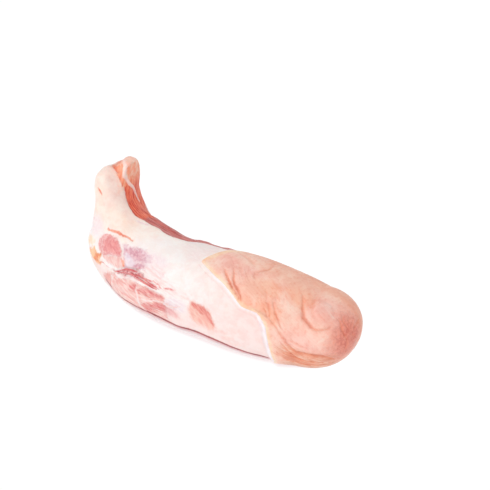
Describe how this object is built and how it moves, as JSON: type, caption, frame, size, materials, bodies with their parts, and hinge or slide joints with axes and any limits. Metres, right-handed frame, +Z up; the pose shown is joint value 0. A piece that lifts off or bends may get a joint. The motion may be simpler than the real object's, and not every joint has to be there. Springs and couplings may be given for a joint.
{
  "type": "pork tail",
  "caption": "Short-cut cured pork tail: fat saddle and rind sleeve with a rounded tip, an upturned butt flap and a knife-cut side of lean meat.",
  "frame": {"origin": "bottom centre of the part's box, on the surface it rests on", "axes": "+X from the cut butt end to the rounded tip, +Z up, -Y the side with the thick fat that faces the viewer"},
  "size_m": [0.1688, 0.062, 0.0729],
  "materials": {
    "tail_flesh": "moist pale pink fat and rind with rose lean meat, soft sheen"
  },
  "bodies": {
    "root": {"pork_tail": "tail_flesh"}
  },
  "joints": []
}
